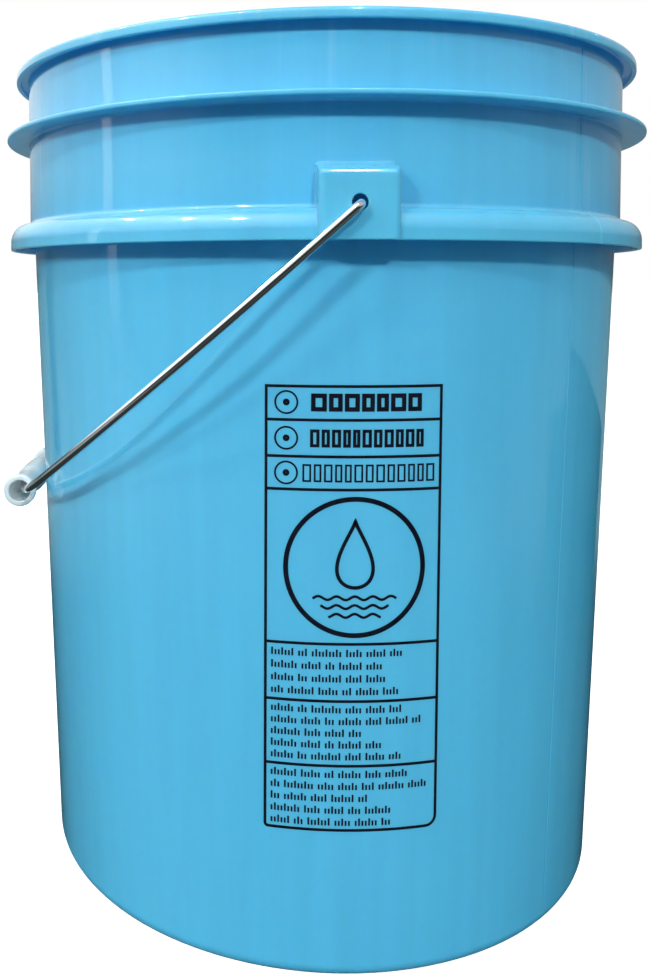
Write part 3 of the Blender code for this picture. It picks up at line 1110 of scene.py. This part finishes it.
def make_floor():
    bm = bmesh.new()
    bmesh.ops.create_circle(bm, cap_ends=True, segments=96, radius=FLOOR_R)
    floor = built(bm, "studio_floor", outward=False)
    floor.location.z = pail_low.z - FLOOR_GAP
    floor.data.materials.append(floor_material())


def bearing(azimuth_deg, elevation_deg, distance, target):
    """A place seen from the target at an azimuth from -Y towards +X and an elevation."""
    a, e = math.radians(azimuth_deg), math.radians(elevation_deg)
    way = Vector((math.sin(a) * math.cos(e), -math.cos(a) * math.cos(e), math.sin(e)))
    return Vector(target) + way * distance


def make_lamp(name, azimuth, elevation, watts, across, tint):
    light = bpy.data.lights.new(name, "AREA")
    light.shape = "DISK"
    light.size = across
    light.energy = watts
    light.color = tint
    lamp = bpy.data.objects.new(name, light)
    bpy.context.scene.collection.objects.link(lamp)
    lamp.location = bearing(azimuth, elevation, LAMP_DISTANCE, LAMP_TARGET)
    way = Vector(LAMP_TARGET) - lamp.location
    lamp.rotation_euler = way.to_track_quat("-Z", "Y").to_euler()
    return lamp


def make_lights():
    """Soft lamps light the object, and small ones make the sharp points of gloss."""
    for i, lamp in enumerate(LAMPS):
        make_lamp(f"lamp_{i}", *lamp, LAMP_ACROSS, LAMP_TINT).visible_glossy = False
    for i, lamp in enumerate(GLINTS):
        make_lamp(f"glint_{i}", *lamp, GLINT_ACROSS, WHITE).visible_diffuse = False


def make_world():
    """White to look at, a dim room for soft light, and a brighter sky for gloss.

    Each part of them comes in between two cosines of the direction's angle to an axis.
    """
    nodes = Nodes("studio", bpy.data.worlds)
    nodes.tree.nodes.clear()

    def rise(value, start, end, low, high):
        return nodes.rise(value, start, end, low, high, "SMOOTHSTEP")

    way = nodes.axes(nodes.add("ShaderNodeTexCoord").outputs["Generated"])
    ray = nodes.add("ShaderNodeLightPath").outputs
    room = rise(way["Z"], 0.15, 0.90, ROOM_DIM, ROOM_DIM + ROOM_OVERHEAD)
    room = nodes.maths("ADD", room, rise(way["Y"], 0.20, 0.85, 0.0, ROOM_BEHIND))
    room = nodes.maths("ADD", room, rise(way["X"], 0.20, 0.85, 0.0, ROOM_RIGHT))
    sky = rise(way["X"], 0.10, -0.50, SKY_ALL, SKY_ALL + SKY_LEFT)
    sky = nodes.maths("MULTIPLY", sky, rise(way["Z"], -0.02, 0.28, 0.0, 1.0))
    sky = nodes.maths("ADD", sky, SKY_DIM)
    front = rise(way["Y"], -0.45, -0.85, 0.0, SKY_FRONT)
    front = nodes.maths("MULTIPLY", front, rise(way["Z"], 0.45, 0.15, 0.0, 1.0))
    sky = nodes.maths("MULTIPLY", sky, nodes.maths("SUBTRACT", 1.0, front))
    tint = nodes.mixed(ray["Is Glossy Ray"], (*ROOM_TINT, 1.0), (*SKY_TINT, 1.0))
    strength = nodes.rise(ray["Is Glossy Ray"], 0.0, 1.0, room, sky)
    lit = nodes.add("ShaderNodeBackground", inputs={"Color": tint, "Strength": strength})
    seen = nodes.add("ShaderNodeBackground", inputs={"Color": (*WHITE, 1.0), "Strength": 1.0})
    mix = nodes.add("ShaderNodeMixShader", inputs={
        0: ray["Is Camera Ray"], 1: lit.outputs["Background"], 2: seen.outputs["Background"]})
    nodes.add("ShaderNodeOutputWorld", inputs={"Surface": mix.outputs["Shader"]})
    bpy.context.scene.world = nodes.made


def make_card(name, azimuths, distance, heights):
    """A curved black card round the object, which the camera doesn't see.

    azimuths are its two ends. heights are its foot and its top, or its foot and its top at
    each end.
    """
    bm = bmesh.new()
    columns = []
    for k in range(CARD_STEPS + 1):
        share = k / CARD_STEPS
        foot = bearing(lerp(*azimuths, share), 0.0, distance, (0.0, 0.0, 0.0))
        top = lerp(heights[1], heights[-1], share)
        columns.append([bm.verts.new((foot.x, foot.y, z)) for z in (heights[0], top)])
    for a, b in zip(columns, columns[1:]):
        bm.faces.new((a[0], b[0], b[1], a[1]))
    card = built(bm, name, outward=False)
    card.visible_camera = False
    nodes = Nodes(name)
    nodes.set(Base_Color=(*BLACK, 1.0), Roughness=1.0, Specular_IOR_Level=0.0)
    card.data.materials.append(nodes.made)
    return card, nodes


def make_cards():
    """A glowing strip that fades towards the floor, and black cards at both sides."""
    strip, nodes = make_card("bright_strip", (-87.0, -82.4), 1.5, (0.03, 0.85))
    strip.visible_diffuse = False
    strip.visible_shadow = False
    fade = nodes.rise(nodes.axes()["Z"], *STRIP_RISE, 0.0, STRIP_GLOW)
    nodes.link(fade, "Emission Strength")
    nodes.set(Emission_Color=(*WHITE, 1.0))
    make_card("dark_right_low", (77.0, 88.0), 0.42, (0.0, 0.160, 0.175))
    make_card("dark_right_high", (88.0, 124.0), 0.42, (0.0, 0.215, 0.150))
    make_card("dark_left", (-133.0, -125.0), 1.0, (0.0, 0.30))


def make_camera():
    data = bpy.data.cameras.new("camera")
    data.lens = CAMERA_LENS
    data.sensor_width = 36.0
    data.shift_x, data.shift_y = CAMERA_SHIFT
    camera = bpy.data.objects.new("camera", data)
    bpy.context.scene.collection.objects.link(camera)
    camera.location = CAMERA_PLACE
    camera.rotation_euler = (math.pi / 2 - CAMERA_PITCH, 0.0, CAMERA_HEADING)
    bpy.context.scene.camera = camera


make_camera()
make_pail(pail_material())
make_bail(wire_material())
make_grip(grip_material())
make_print(ink_material())
make_floor()
make_lights()
make_cards()
make_world()
bpy.context.scene.view_settings.view_transform = "Standard"
